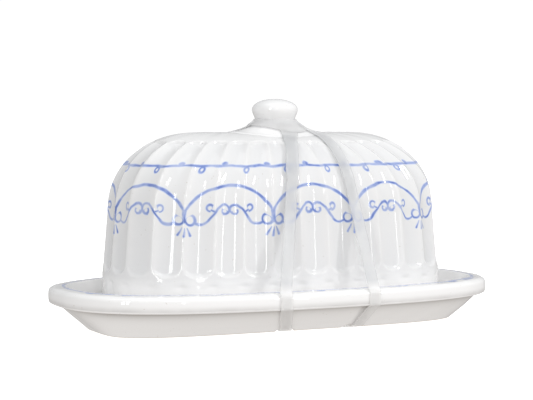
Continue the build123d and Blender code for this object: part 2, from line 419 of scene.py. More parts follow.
def make_lid():
    """The hollow fluted dome, from the crown down the outside and up the inside."""
    across = np.tile(flute_places(), FLUTES)
    flute = np.repeat(np.arange(FLUTES), COLUMNS_PER_FLUTE)
    shares = (flute - 0.5 + across) / FLUTES
    # The first column is half a flute before the front centre, so turn the list to start there.
    shift = COLUMNS_PER_FLUTE // 2
    shares = np.roll(shares, -shift)
    across = np.roll(across, -shift)
    flute = np.roll(flute, -shift)
    shares = np.where(np.arange(len(shares)) >= len(shares) - shift, shares + 1, shares)
    levels = lid_levels()
    inset = levels[:, :1]
    height = levels[:, 1:]
    plan = np.stack([lid_outline(level, shares % 1.0) for level in levels[:, 0]])
    outside = np.concatenate([plan, np.broadcast_to(height[..., None], plan.shape[:2] + (1,))], axis=-1)
    normal = grid_normals(outside, wrap=True)
    edge = np.abs(2 * across - 1)
    strength = 1 + RANDOM.uniform(-FLUTE_UNEVENNESS, FLUTE_UNEVENNESS, FLUTES)[flute % FLUTES]
    bottom = smoothstep((height - FLUTE_START_Z - FLUTE_START_RISE * edge**2.5) / FLUTE_START_RUN)
    top = smoothstep((FLUTE_END_INSET - FLUTE_END_DROP * edge**3 - inset) / FLUTE_END_RUN)
    hollow = scoop(across) * bottom * top
    from_ridge = np.minimum(across, 1 - across)
    below_lip = smoothstep((BASE_RECESS_TOP_Z - height) / BASE_RECESS_RUN)
    valley = np.exp(-((from_ridge / BASE_VALLEY_WIDTH) ** 2))
    dip = np.exp(-((from_ridge / BASE_DIP_WIDTH) ** 2) - ((height - BASE_DIP_Z) / BASE_DIP_TALL) ** 2)
    recess = (BASE_RECESS + BASE_VALLEY * valley) * below_lip + BASE_DIP * dip
    waves = ripple(shares, height, LID_WAVES) + ripple(shares, height, LID_FINE_WAVES, (21, 34))
    depth = FLUTE_DEPTH * strength * hollow + recess + LID_SUNK + waves
    outside = outside - normal * depth[..., None]

    foot = outside[-1]
    inward = -grid_normals(outside, wrap=True)[-1] * np.array([1, 1, 0])
    rows = [foot * [1, 1, 0] + inward * step + [0, 0, LID_BASE_Z + up] for step, up in EDGE_STEPS]
    for level in INNER_INSETS:
        z = float(dome_height(np.array(level))) - WALL_THICKNESS * min(1.0, level / WALL_DRAFT / 2)
        ring = lid_outline(level, shares % 1.0, WALL_THICKNESS)
        rows.append(np.concatenate([ring, np.full((len(ring), 1), z)], axis=-1))
    grid = np.concatenate([outside, np.stack(rows)])

    lid = closed_shell("lid_shell_glazed", grid)
    # Only the outside is painted.
    paint_height = grid[..., 2].copy()
    paint_height[len(outside) + 3 :] = UNPAINTED_Z
    add_map(lid, "paint", shares * CELLS, paint_height, grid.shape[1])
    pooling_and_shade = np.zeros(grid.shape[:2])
    shallow = BASE_POOLING * recess / (BASE_RECESS + BASE_VALLEY)
    pooling_and_shade[: len(outside)] = np.clip(hollow + shallow, 0, 1)
    add_value(lid, "pooling_and_shade", pooling_and_shade)
    # The lowest rows of the standing edge are unglazed.
    bare = np.zeros(grid.shape[:2])
    bare[len(outside) + 2 : len(outside) + 5] = 1
    add_value(lid, "bare", bare)
    return lid


# ---- making: plate ----


def plate_profile():
    """Inset along, inset across and height, from the floor's centre over the rim to the recess."""
    foot_along = PLATE_HALF_LENGTH - FOOT_HALF_LENGTH
    foot_across = PLATE_HALF_WIDTH - FOOT_HALF_WIDTH
    corners = [
        (62, 40, FLOOR_Z),
        (15, 11.2, FLOOR_Z),
        (10.2, 9.6, 17.5),
        (RIM_INNER_INSET, RIM_INNER_INSET, RIM_HEIGHT + 0.1),
        (1.9, 1.9, RIM_HEIGHT - 0.2),
        (0, 0, 18.3),
        (-0.2, -0.2, 15.5),
        (0, 0, 12.8),
        (1.6, 1.6, 12.05),
        (3.2, 3.2, 12.5),
        (foot_along, foot_across, 0),
        (foot_along + FOOT_RING_WIDTH, foot_across + FOOT_RING_WIDTH, 0),
        (foot_along + FOOT_RING_WIDTH, foot_across + FOOT_RING_WIDTH, RECESS_Z),
        (60, 44, RECESS_Z),
    ]
    reaches = [3.0, 1.6, 1.0, 1.2, 1.2, 1.2, 0.9, 0.8, 0.7, 1.0, 1.2, 2.0]
    return evenly(rounded(corners, reaches, 7), PLATE_ROW_SPACING)


def distance_to_run(x, y, foot):
    """Plan distance from the straight line through the centre and a foot point."""
    span = math.hypot(*foot)
    return np.abs(x * foot[1] - y * foot[0]) / span


def make_plate():
    """The oval plate, from its floor's centre over the rolled rim to the recess inside its foot."""
    shares = np.arange(PLATE_COLUMNS) / PLATE_COLUMNS
    profile = plate_profile()
    rows = []
    under = np.arange(len(profile)) > len(profile) // 2
    for (along, across, z), below in zip(profile, under):
        # Under the rim the outline becomes squarer down to the foot.
        squarer = below and z < UNDER_RIM_Z and along > UNDER_RIM_INSET
        share = 1 - z / UNDER_RIM_Z if squarer else 0.0
        roundness = PLATE_ROUNDNESS + (FOOT_ROUNDNESS - PLATE_ROUNDNESS) * share
        ring = superellipse(PLATE_HALF_LENGTH - along, PLATE_HALF_WIDTH - across, roundness, shares)
        rows.append(np.concatenate([ring, np.full((len(ring), 1), z)], axis=-1))
    grid = np.stack(rows)
    normal = grid_normals(grid, wrap=True)
    height = profile[:, 2:]
    # The floor that the lid stands on and the foot stay flat.
    above_floor = smoothstep((height - FLOOR_Z) / 1.5)
    above_foot = PLATE_WAVES_BELOW * smoothstep((12.5 - height) / 2) * smoothstep(height / 3)
    loose = np.minimum(above_floor + above_foot, 1)
    waves = ripple(shares, height, PLATE_WAVES) + ripple(shares, height, PLATE_FINE_WAVES, (17, 29))
    grid = grid + normal * ((waves - PLATE_SUNK) * loose)[..., None]
    lifted = grid[..., 2].copy()
    for strand in FRONT_STRANDS:
        near = distance_to_run(grid[..., 0], grid[..., 1], strand["foot"])
        notch = NOTCH_DEPTH * smoothstep((NOTCH_HALF_WIDTH - near) / NOTCH_RUN) * under[:, None]
        lifted = np.maximum(lifted, np.where(lifted < NOTCH_DEPTH, notch, lifted))
    grid[..., 2] = np.where(under[:, None], lifted, grid[..., 2])
    plate = closed_shell("plate_glazed", grid)
    steps = np.linalg.norm(np.diff(profile[:, 1:], axis=0), axis=-1)
    travelled = np.concatenate([[0], np.cumsum(steps)])
    from_lip = np.abs(profile[:, 1] - RIM_INNER_INSET) + np.abs(profile[:, 2] - RIM_HEIGHT)
    lip = travelled[np.argmin(from_lip)]
    add_map(plate, "paint", shares * PLATE_PAINT_LENGTH, travelled - lip, PLATE_COLUMNS)
    bare = np.where(under[:, None] & (grid[..., 2] < BARE_FOOT_Z), 1.0, 0.0)
    add_value(plate, "bare", bare)
    # Darker low in the well, from pooled glaze and painted shade, and darker across the middle of the rim's
    # top.
    well = smoothstep((FLOOR_Z + WELL_POOLING_AND_SHADE_RISE - profile[:, 2]) / WELL_POOLING_AND_SHADE_RISE) * ~under
    from_rim_middle = (profile[:, 0] - RIM_TOP_DARKENING_INSET) / RIM_TOP_DARKENING_WIDTH
    flat_top = RIM_TOP_DARKENING * np.exp(-(from_rim_middle**2)) * ~under
    add_value(plate, "pooling_and_shade", np.broadcast_to((well + flat_top)[:, None], grid.shape[:2]))
    # Painted shade just under the rim, darkest at the rim's underside and fading downwards.
    sheltered = under & (profile[:, 0] > 1.2) & (profile[:, 2] < PAINTED_SHADE_TOP_Z + 0.2)
    painted_shade_under_rim = np.exp(-((PAINTED_SHADE_TOP_Z - profile[:, 2]) / PAINTED_SHADE_DECAY).clip(0)) * sheltered
    add_value(plate, "painted_shade_under_rim", np.broadcast_to(painted_shade_under_rim[:, None], grid.shape[:2]))
    return plate


# ---- making: knob ----


def flare_reach(angle):
    """Plan radius of the flare's edge in each direction."""
    return 1 / np.hypot(np.cos(angle) / FLARE_HALF_LENGTH, np.sin(angle) / FLARE_HALF_WIDTH)


def flare_height(x, y):
    """Height of the trumpet-shaped flare over a plan point, and of the lid beyond it."""
    radius = np.hypot(x, y)
    angle = np.arctan2(y, x)
    share = np.clip((radius - FLARE_START_RADIUS) / (flare_reach(angle) - FLARE_START_RADIUS), 0, 1)
    below_start = lid_height(FLARE_START_RADIUS * np.cos(angle), FLARE_START_RADIUS * np.sin(angle))
    rise = FLARE_START_Z - below_start - FLARE_EDGE
    edge = FLARE_EDGE * smoothstep((flare_reach(angle) - radius) / FLARE_EDGE_RUN)
    return lid_height(x, y) + edge + rise * (1 - share) ** FLARE_CURL


def level_ring(radius, angle, z):
    """A level circle of points round the object's middle."""
    return np.stack([radius * np.cos(angle), radius * np.sin(angle), np.full_like(angle, z)], axis=-1)


def knob_side(angle):
    """Rows of the neck and flare, from under the cap to the flare's edge."""
    rows = [level_ring(radius, angle, z) for radius, z in spline(NECK, 5)]
    for share in FLARE_SHARES:
        radius = FLARE_START_RADIUS + (flare_reach(angle) - FLARE_START_RADIUS) * share
        x = radius * np.cos(angle)
        y = radius * np.sin(angle)
        rows.append(np.stack([x, y, flare_height(x, y)], axis=-1))
    return np.stack(rows)


def make_knob():
    """The mushroom knob on its flare. The flare's edge goes a little way into the lid."""
    angle = np.arange(KNOB_COLUMNS) / KNOB_COLUMNS * 2 * np.pi - np.pi / 2
    cap = []
    for turn in CAP_TURNS:
        radius = KNOB_RADIUS * np.abs(np.cos(turn)) ** CAP_FULLNESS
        z = KNOB_WIDEST_Z + (KNOB_TOP_Z - KNOB_WIDEST_Z) * np.sin(turn)
        cap.append(level_ring(radius, angle, z))
    side = knob_side(angle)
    sunk = side[-1] * [1.01, 1.01, 1] - [0, 0, 0.8]
    core = side[-1] * [0.5, 0.5, 1] - [0, 0, 1.5]
    grid = np.concatenate([np.stack(cap), side, sunk[None], core[None]])
    z = grid[..., 2]
    waves = ripple(angle / (2 * np.pi), z, KNOB_WAVES, (2, 3, 5)) - KNOB_WAVES
    grid = grid + grid_normals(grid, wrap=True) * waves[..., None]
    knob = closed_shell("lid_knob_glazed", grid)
    z = grid[..., 2]
    creased = smoothstep((CREASE_TOP_Z - z) / CREASE_RUN) * smoothstep((z - CREASE_FOOT_Z) / CREASE_RUN)
    add_value(knob, "pooling_and_shade", creased)
    add_value(knob, "bare", np.zeros(grid.shape[:2]))
    return knob


# ---- making: band ----

# The front strands; each back one is its front one turned half a turn. over, rim and foot are plan
# points of its middle. hump is how far it rises under the plate's centre, where the two cross.
FRONT_STRANDS = [
    {
        "over": [(2.2, -10.7), (0.4, -15), (-2.0, -19.3), (-4.9, -26.6), (-8.2, -33), (-9.5, -35.4)],
        "rim": (-21.0, -54.0),
        "foot": (-10.5, -31.8),
        "hump": 0.0,
    },
    {
        "over": [
            (10.5, -1.2), (15.2, -7.2), (17.0, -13), (17.3, -20),
            (17.6, -26.6), (18.3, -33), (18.7, -35.4),
        ],
        "rim": (22.0, -54.0),
        "foot": (25.5, -31.8),
        "hump": 0.75,
    },
]
# Places across the band, -1 and 1 at its edges and closest together there.
ACROSS = np.sin(np.linspace(-1, 1, 13) * np.pi / 2)


def band_loop(middle, normal, thickness):
    """Rows of points round a flat strap whose edges are rounded, from its middle surface."""
    half = thickness / 2 * (1 - np.abs(ACROSS) ** 6) ** 0.5
    face = middle + normal * half[..., None]
    back = middle - normal * half[..., None]
    return np.concatenate([face, back[:, -2:0:-1]], axis=1)


def strand_over_lid(plan):
    """Middle surface of the part of a strand that lies on the knob's flare and the dome."""
    line = spline(plan, STRAND_ROWS_PER_SPAN)
    tangent = np.gradient(line, axis=0)
    tangent /= np.linalg.norm(tangent, axis=-1, keepdims=True)
    side = np.stack([-tangent[:, 1], tangent[:, 0]], axis=-1)
    side *= np.sign(side[:, :1])
    steps = np.linalg.norm(np.diff(line, axis=0), axis=-1)
    from_start = np.concatenate([[0], np.cumsum(steps)])
    half = BAND_WIDTH / 2 * (1 + STRAND_SPREAD * np.exp(-from_start / STRAND_SPREAD_DECAY))
    fillet = STRAND_FILLET * np.exp(-from_start / STRAND_FILLET_DECAY)
    spread = half[:, None] * ACROSS - fillet[:, None] * np.clip(-ACROSS, 0, 1)
    points = line[:, None] + side[:, None] * spread[..., None]
    x = points[..., 0]
    y = points[..., 1]
    grid = np.stack([x, y, flare_height(x, y)], axis=-1)
    normal = grid_normals(grid, wrap=False)
    return grid + normal * BAND_CLEARANCE


def strand_down(last_row, strand):
    """Middle surface from the dome straight to the rim, round it and under to the centre."""
    start = last_row[len(last_row) // 2]
    rim_x, rim_y = strand["rim"]
    foot_x, foot_y = strand["foot"]
    lean = (rim_x - start[0]) / (rim_y - start[1])
    outline = abs(rim_y) * (1 - abs(rim_x / PLATE_HALF_LENGTH) ** PLATE_ROUNDNESS) ** (1 / PLATE_ROUNDNESS)
    back = (foot_x - rim_x) / (foot_y + outline)
    points = [
        start,
        (rim_x - RIM_SLIP * lean, -outline + 0.9, RIM_HEIGHT + 0.2),
        (rim_x - RIM_SLIP * lean, -outline - BAND_CLEARANCE, 18.3),
        (rim_x - RIM_SLIP * lean, -outline - BAND_CLEARANCE, 12.7),
        (rim_x + 1.2 * back, -outline + 1.6, 12.05 - BAND_CLEARANCE),
        (foot_x, foot_y, UNDER_FOOT_Z + 0.05),
        (0, 0, UNDER_FOOT_Z),
    ]
    line = evenly(rounded(points, RIM_REACHES, 5), STRAND_ROW_SPACING)
    from_centre = np.hypot(line[:, 0], line[:, 1])
    line[:, 2] += strand["hump"] * np.exp(-((from_centre / HUMP_RADIUS) ** 2))
    tangent = np.gradient(line, axis=0)
    tangent /= np.linalg.norm(tangent, axis=-1, keepdims=True)
    side = np.array([1.0, 0, 0]) - tangent[:, :1] * tangent
    side /= np.linalg.norm(side, axis=-1, keepdims=True)
    # Just below the dome it still lies as it does on the dome, and turns to face the front.
    first = last_row[-1] - last_row[0]
    first /= np.linalg.norm(first)
    fade = np.linspace(0, 1, STRAND_TWIST_ROWS)[:, None]
    side[:STRAND_TWIST_ROWS] = first * (1 - fade) + side[:STRAND_TWIST_ROWS] * fade
    side /= np.linalg.norm(side, axis=-1, keepdims=True)
    return line[1:, None] + side[1:, None] * (BAND_WIDTH / 2 * ACROSS)[:, None]


def make_strand(strand):
    """Points and faces of one strand pair, up on both long sides and joined under the plate."""
    over = strand_over_lid(strand["over"])
    front = np.concatenate([over, strand_down(over[-1], strand)])
    half_turn = front[:-1][::-1, ::-1] * [-1, -1, 1]
    middle = np.concatenate([front, half_turn])
    normal = grid_normals(middle, wrap=False)
    # The ends thin out under the belt.
    from_end = np.minimum(np.arange(len(middle)), np.arange(len(middle))[::-1])
    thickening = (1 - STRAND_END_THICKNESS) * smoothstep(from_end / STRAND_END_ROWS)
    thickness = BAND_THICKNESS * (STRAND_END_THICKNESS + thickening)
    loops = band_loop(middle, normal, thickness[:, None])
    rows, columns = loops.shape[:2]
    faces = grid_faces(rows, columns).tolist()
    faces.append(list(range(columns)))
    faces.append([(rows - 1) * columns + column for column in reversed(range(columns))])
    return loops.reshape(-1, 3), faces


def make_belt():
    """Points and faces of the belt round the neck, over the strands' ends and widest between them."""
    angle = np.arange(BELT_COLUMNS) / BELT_COLUMNS * 2 * np.pi - np.pi / 2
    side = knob_side(angle)
    steps = np.linalg.norm(np.diff(side, axis=0), axis=-1)
    travelled = np.concatenate([np.zeros((1, BELT_COLUMNS)), np.cumsum(steps, axis=0)])
    between_strands = np.clip(np.cos(angle - BELT_WIDEST), 0, 1) ** 1.5
    width = BAND_WIDTH * (BELT_WIDTH + BELT_WIDENING * between_strands)
    middle = np.zeros((len(ACROSS), BELT_COLUMNS, 3))
    for column in range(BELT_COLUMNS):
        wanted = BELT_START + width[column] * (ACROSS + 1) / 2
        for axis in range(3):
            middle[:, column, axis] = np.interp(wanted, travelled[:, column], side[:, column, axis])
    normal = grid_normals(middle, wrap=True)
    middle = middle + normal * (BAND_CLEARANCE + BELT_STEP)
    # The stretched band bridges the hollow between the neck and the flare.
    for _ in range(BELT_SMOOTHINGS):
        middle[1:-1] = (middle[:-2] + 2 * middle[1:-1] + middle[2:]) / 4
    normal = grid_normals(middle, wrap=True)
    thickness = np.full((BELT_COLUMNS, 1), BAND_THICKNESS)
    loops = band_loop(middle.transpose(1, 0, 2), normal.transpose(1, 0, 2), thickness)
    rows, around = loops.shape[:2]
    row, spot = np.meshgrid(np.arange(rows), np.arange(around), indexing="ij")
    first = row * around
    second = (row + 1) % rows * around
    after = (spot + 1) % around
    quads = [first + spot, first + after, second + after, second + spot]
    return loops.reshape(-1, 3), np.stack(quads, axis=-1).reshape(-1, 4).tolist()


def make_band():
    """The band: its belt and its two strand pairs, as closed shells in one mesh."""
    points = np.zeros((0, 3))
    faces = []
    shells = [make_belt()] + [make_strand(strand) for strand in FRONT_STRANDS]
    for piece_points, piece_faces in shells:
        faces += [[corner + len(points) for corner in face] for face in piece_faces]
        points = np.concatenate([points, piece_points])
    band = add_object("retaining_band_elastic", points, faces)
    # Painted light: the band is whiter from about the rim down and round the neck.
    at_rim = smoothstep((BAND_PAINTED_LIGHT_Z - points[:, 2]) / BAND_PAINTED_LIGHT_RUN)
    at_neck = NECK_PAINTED_LIGHT * smoothstep((points[:, 2] - NECK_PAINTED_LIGHT_Z) / NECK_PAINTED_LIGHT_RUN)
    add_value(band, "painted_light", at_rim + at_neck)
    return band


# ---- making: materials ----


class Field:
    """A number that varies over a surface, as a node socket with ordinary arithmetic."""

    def __init__(self, tree, socket):
        self.tree = tree
        self.socket = socket

    def math(self, operation, *others):
        node = self.tree.nodes.new("ShaderNodeMath")
        node.operation = operation
        for slot, value in zip(node.inputs, (self, *others)):
            if isinstance(value, Field):
                self.tree.links.new(value.socket, slot)
            else:
                slot.default_value = value
        return Field(self.tree, node.outputs[0])

    def __add__(self, other):
        return self.math("ADD", other)

    def __sub__(self, other):
        return self.math("SUBTRACT", other)

    def __mul__(self, other):
        return self.math("MULTIPLY", other)

    def __rsub__(self, other):
        return (self * -1) + other

    def size(self):
        return self.math("ABSOLUTE")

    def least(self, other):
        return self.math("MINIMUM", other)

    def most(self, other):
        return self.math("MAXIMUM", other)

    def ramp(self, start, end, low=0.0, high=1.0):
        """Smoothly from low at start to high at end."""
        node = self.tree.nodes.new("ShaderNodeMapRange")
        node.interpolation_type = "SMOOTHSTEP"
        values = (start, end, low, high)
        if start > end:
            values = (end, start, high, low)
        for slot, value in zip(node.inputs[1:5], values):
            slot.default_value = value
        self.tree.links.new(self.socket, node.inputs[0])
        return Field(self.tree, node.outputs[0])


class Surface:
    """The node tree of one material."""

    def __init__(self, name):
        self.material = bpy.data.materials.new(name)
        self.material.use_nodes = True
        self.tree = self.material.node_tree
        self.shader = self.tree.nodes["Principled BSDF"]
        self.place = self.tree.nodes.new("ShaderNodeTexCoord").outputs["Object"]

    def set(self, **values):
        """Set the shader's own inputs, with _ for a space in a name."""
        for name, value in values.items():
            self.shader.inputs[name.replace("_", " ")].default_value = value

    def feed(self, name, field):
        """Link a field to one of the shader's inputs."""
        self.tree.links.new(field.socket, self.shader.inputs[name])

    def map(self, name):
        """The two numbers of a UV map."""
        node = self.tree.nodes.new("ShaderNodeUVMap")
        node.uv_map = name
        split = self.tree.nodes.new("ShaderNodeSeparateXYZ")
        self.tree.links.new(node.outputs[0], split.inputs[0])
        return Field(self.tree, split.outputs[0]), Field(self.tree, split.outputs[1])

    def value(self, name):
        """A number that add_value gave the piece."""
        node = self.tree.nodes.new("ShaderNodeAttribute")
        node.attribute_name = name
        return Field(self.tree, node.outputs["Fac"])

    def noise(self, size, detail=2.0, at=None, shift=0.0):
        """Noise whose lumps are about this many millimetres, from about -0.5 to 0.5."""
        node = self.tree.nodes.new("ShaderNodeTexNoise")
        node.inputs["Scale"].default_value = 1 / (size * (MM if at is None else 1.0))
        node.inputs["Detail"].default_value = detail
        source = self.place if at is None else at
        moved = self.tree.nodes.new("ShaderNodeVectorMath")
        moved.operation = "ADD"
        moved.inputs[1].default_value = (shift, shift * 0.7, shift * 1.3)
        self.tree.links.new(source, moved.inputs[0])
        self.tree.links.new(moved.outputs[0], node.inputs["Vector"])
        return Field(self.tree, node.outputs[0]) - 0.5

    def point(self, x, y):
        node = self.tree.nodes.new("ShaderNodeCombineXYZ")
        self.tree.links.new(x.socket, node.inputs[0])
        self.tree.links.new(y.socket, node.inputs[1])
        return node.outputs[0]

    def mix(self, amount, first, second):
        """Colours mixed by a field; first may be the socket of an earlier mix."""
        node = self.tree.nodes.new("ShaderNodeMix")
        node.data_type = "RGBA"
        self.tree.links.new(amount.socket, node.inputs["Factor"])
        for slot, colour in zip((node.inputs[6], node.inputs[7]), (first, second)):
            if isinstance(colour, tuple):
                slot.default_value = (*colour, 1.0)
            else:
                self.tree.links.new(colour, slot)
        return node.outputs[2]

    def colour(self, socket):
        self.tree.links.new(socket, self.shader.inputs["Base Color"])

    def bump(self, height_mm):
        """Relief of this many millimetres."""
        node = self.tree.nodes.new("ShaderNodeBump")
        node.inputs["Distance"].default_value = MM
        self.tree.links.new(height_mm.socket, node.inputs["Height"])
        self.tree.links.new(node.outputs[0], self.shader.inputs["Normal"])


GLAZE = (0.82, 0.82, 0.82)
GLAZE_POOLED = (0.78, 0.785, 0.79)
# Painted light: the lid's colour near its foot.
LID_FOOT_PAINTED_LIGHT = (0.93, 0.93, 0.93)
PLATE_GLAZE = (0.92, 0.915, 0.91)
# Darker plate colour for the well and the rim's top: pooled glaze with painted shade.
PLATE_POOLED_AND_SHADE = (0.66, 0.65, 0.64)
# Colour of the painted shade under the rim.
PLATE_PAINTED_SHADE = (0.25, 0.22, 0.19)
BISCUIT = (0.72, 0.66, 0.58)
SPECK = (0.45, 0.38, 0.30)
KNOB_GLAZE = (0.90, 0.90, 0.90)
WASH_BLUE = (0.40, 0.50, 0.80)
STRONG_BLUE = (0.12, 0.19, 0.52)
BAND_GREY = (0.69, 0.70, 0.715)
BAND_MILKY = (0.78, 0.785, 0.79)
# Colour of the painted light on the band.
BAND_PAINTED_LIGHT = (0.95, 0.945, 0.94)
FLOOR_WHITE = (0.93, 0.93, 0.93)
FLOOR_BRIGHT = (0.95, 0.95, 0.95)
# Heights where the painted light near the lid's foot starts and where it is full.
FOOT_PAINTED_LIGHT_TOP_Z = 26.0
FOOT_PAINTED_LIGHT_FULL_Z = 22.0
# Iron specks are where a fine noise passes these.
SPECK_START = 0.335
SPECK_FULL = 0.36


# On the paint, x is millimetres across one repeat from its middle and z is height in millimetres.


def length(x, y):
    """Distance of the point from where x and y are 0."""
    return (x * x + y * y).math("SQRT")


def ring(x, y, centre, radius):
    """Distance from a circle's line."""
    return (length(x - centre[0], y - centre[1]) - radius).size()


def stroke(x, y, start, end):
    """Distance from a straight stroke, and the share of the way along it."""
    run = (end[0] - start[0], end[1] - start[1])
    span = run[0] ** 2 + run[1] ** 2
    share = ((x - start[0]) * (run[0] / span) + (y - start[1]) * (run[1] / span)).most(0.0).least(1.0)
    return length(x - start[0] - share * run[0], y - start[1] - share * run[1]), share


def curl(x, y, centre, radius, half_width, heading, keep):
    """Distance outside a ring that is cut off beyond keep from its centre along heading in degrees."""
    whole = ring(x, y, centre, radius) - half_width
    angle = math.radians(heading)
    past = (x - centre[0]) * math.cos(angle) + (y - centre[1]) * math.sin(angle) - keep
    return whole.most(past)


def beaded_line(x, z):
    """Distance outside the shoulder line, its dots and the rings that hang from it."""
    side = x.size()
    line = (z - 73.2).size() - 0.5
    dot = length(side * 0.6, z - 73.9) - 1.0
    bead = ring(side, z, (BEAD_WIDTH / 2, 71.7), 1.15) - 0.45
    return line.least(dot).least(bead)


def swag_border(x, z):
    """Distance outside the painted strokes of one repeat, which is the same left and right of x = 0."""
    side = x.size()
    strokes = []
    arch = ring(side, z, (0, 42.4), 22.8) - 0.6
    strokes.append(arch.most(54.3 - z))
    strokes.append(stroke(side, z, (19.25, 54.6), (19.6, 49.6))[0] - 0.6)
    strokes.append(curl(side, z, (17.1, 50.5), 2.1, 0.5, heading=58, keep=1.5))
    trough = ring(side, z, (12.6, 52.7), 4.15) - 0.5
    strokes.append(trough.most(z - 50.4).most(side - 15.4))
    strokes.append(stroke(side, z, (9.3, 50.3), (5.5, 55.2))[0] - 0.5)
    strokes.append(stroke(side, z, (5.5, 55.2), (3.4, 56.9))[0] - 0.5)
    strokes.append(curl(side, z, (2.2, 55.0), 2.1, 0.5, heading=0, keep=0.9))
    strokes.append(curl(side, z, (2.2, 54.2), 1.25, 0.42, heading=110, keep=0.5))
    strokes.append(curl(side, z, (8.9, 55.5), 1.4, 0.45, heading=200, keep=0.9))
    strokes.append(stroke(side, z, (8.2, 54.6), (6.8, 54.0))[0] - 0.4)
    middle = CELL_WIDTH / 2
    for top, foot in (((-1.2, 47.1), (-2.8, 44.0)), ((0.0, 46.9), (0.0, 43.6))):
        away, share = stroke(side - middle, z, top, foot)
        strokes.append(away - (share * 0.35 + 0.15))
    return functools.reduce(Field.least, strokes)


def paint(surface, base, away, flow):
    """Blue brushwork under the glaze: a watery edge and a darker uneven core."""
    wash = away.ramp(0.35, -0.12) * flow.ramp(-0.3, 0.15, 0.55, 1.0)
    core = away.ramp(0.08, -0.35) * flow.ramp(-0.12, 0.25, 0.35, 1.0)
    return surface.mix(core, surface.mix(wash, base, WASH_BLUE), STRONG_BLUE)


def glaze(name, fresh, pooling_and_shade_colour):
    """Glossy white glaze over ceramic, thicker and greyer in hollows, bare where it stands. On the plate the
    greyer colour is also painted shade.
    """
    surface = Surface(name)
    pooling_and_shade = surface.value("pooling_and_shade")
    bare = surface.value("bare").ramp(0.3, 0.7)
    cloud = surface.noise(14.0, 3.0)
    depth = pooling_and_shade.ramp(0.1, 1.0) * cloud.ramp(-0.25, 0.25, 0.55, 1.0)
    body = surface.mix(depth, fresh, pooling_and_shade_colour)
    speck = surface.noise(0.9, 0.0, shift=0.3).ramp(SPECK_START, SPECK_FULL, 0.0, 0.35)
    body = surface.mix(speck, body, SPECK)
    surface.mixed = body
    surface.bare = bare
    surface.set(IOR=1.5, Coat_Weight=0.25, Coat_Roughness=0.03)
    flow = surface.noise(9.0, 1.0, shift=0.1) * 0.10
    peel = surface.noise(1.6, 1.0, shift=0.2) * 0.006
    grit = surface.noise(0.35, 2.0, shift=0.4) * bare * 0.12
    surface.bump(flow + peel + grit)
    gloss = surface.noise(22.0, 2.0, shift=0.5).ramp(-0.3, 0.3, 0.03, 0.07)
    surface.feed("Roughness", gloss.most(bare * 0.75))
    return surface


def finish_glaze(surface):
    """The material, with bare ceramic over whatever has been painted on it."""
    surface.colour(surface.mix(surface.bare, surface.mixed, BISCUIT))
    return surface.material


def lid_material():
    """White glaze over the painted border, with painted light that whitens it near its foot."""
    surface = glaze("lid_glaze", GLAZE, GLAZE_POOLED)
    cell, z = surface.map("paint")
    place = surface.point(cell * CELL_WIDTH, z)
    sway = surface.noise(7.0, 1.0, place, 1.0) * 1.3
    x = ((cell + 0.5).math("FRACT") - 0.5) * CELL_WIDTH + sway
    bead = ((cell * BEADS_PER_CELL + 0.5).math("FRACT") - 0.5) * BEAD_WIDTH + sway
    z = z + surface.noise(8.0, 1.0, place, 5.0) * 1.5
    swell = surface.noise(5.0, 1.0, place, 9.0) * 0.55
    flow = surface.noise(6.0, 2.0, place, 13.0)
    painted = swag_border(x, z).least(beaded_line(bead, z))
    # Painted light that whitens the lid near its foot.
    surface.mixed = surface.mix(z.ramp(FOOT_PAINTED_LIGHT_TOP_Z, FOOT_PAINTED_LIGHT_FULL_Z), surface.mixed, LID_FOOT_PAINTED_LIGHT)
    surface.mixed = paint(surface, surface.mixed, painted + swell, flow)
    return finish_glaze(surface)


def plate_material():
    """White glaze with a thin painted line inside the rim, and painted shade just under the rim."""
    surface = glaze("plate_glaze", PLATE_GLAZE, PLATE_POOLED_AND_SHADE)
    surface.mixed = surface.mix(surface.value("painted_shade_under_rim"), surface.mixed, PLATE_PAINTED_SHADE)
    share, across = surface.map("paint")
    place = surface.point(share * 5.2, across)
    waver = surface.noise(16.0, 2.0, place, 2.0)
    line = (across - 1.7 + waver * 1.6).size() - 0.55 + surface.noise(5.0, 1.0, place, 4.0) * 1.6
    dabs = surface.noise(7.0, 0.0, place, 8.0)
    dab = (across - 3.2).size() - 1.1 + dabs.ramp(0.08, 0.22, 3.0, 0.0)
    surface.mixed = paint(surface, surface.mixed, line.least(dab), surface.noise(6.0, 2.0, place, 6.0))
    return finish_glaze(surface)


def knob_material():
    """Plain white glaze."""
    return finish_glaze(glaze("knob_glaze", KNOB_GLAZE, GLAZE_POOLED))


def band_material():
    """Milky elastic that lets a little of what is under it show through, with painted light that whitens it
    from the rim down and round the neck.
    """
    surface = Surface("band")
    haze = surface.noise(10.0, 3.0)
    body = surface.mix(haze.ramp(-0.3, 0.3), BAND_GREY, BAND_MILKY)
    surface.colour(surface.mix(surface.value("painted_light"), body, BAND_PAINTED_LIGHT))
    surface.set(Roughness=0.4, IOR=1.45, Specular_IOR_Level=0.45, Alpha=0.5)
    surface.bump(surface.noise(3.0, 2.0, shift=0.6) * 0.02)
    return surface.material


def floor_material():
    surface = Surface("floor_paper")
    cloud = surface.noise(60.0, 3.0).ramp(-0.3, 0.3)
    surface.colour(surface.mix(cloud, FLOOR_WHITE, FLOOR_BRIGHT))
    surface.set(Roughness=0.8, Specular_IOR_Level=0.1)
    surface.set(Emission_Color=(1.0, 1.0, 1.0, 1.0), Emission_Strength=0.75)
    return surface.material


# ---- making: stage ----

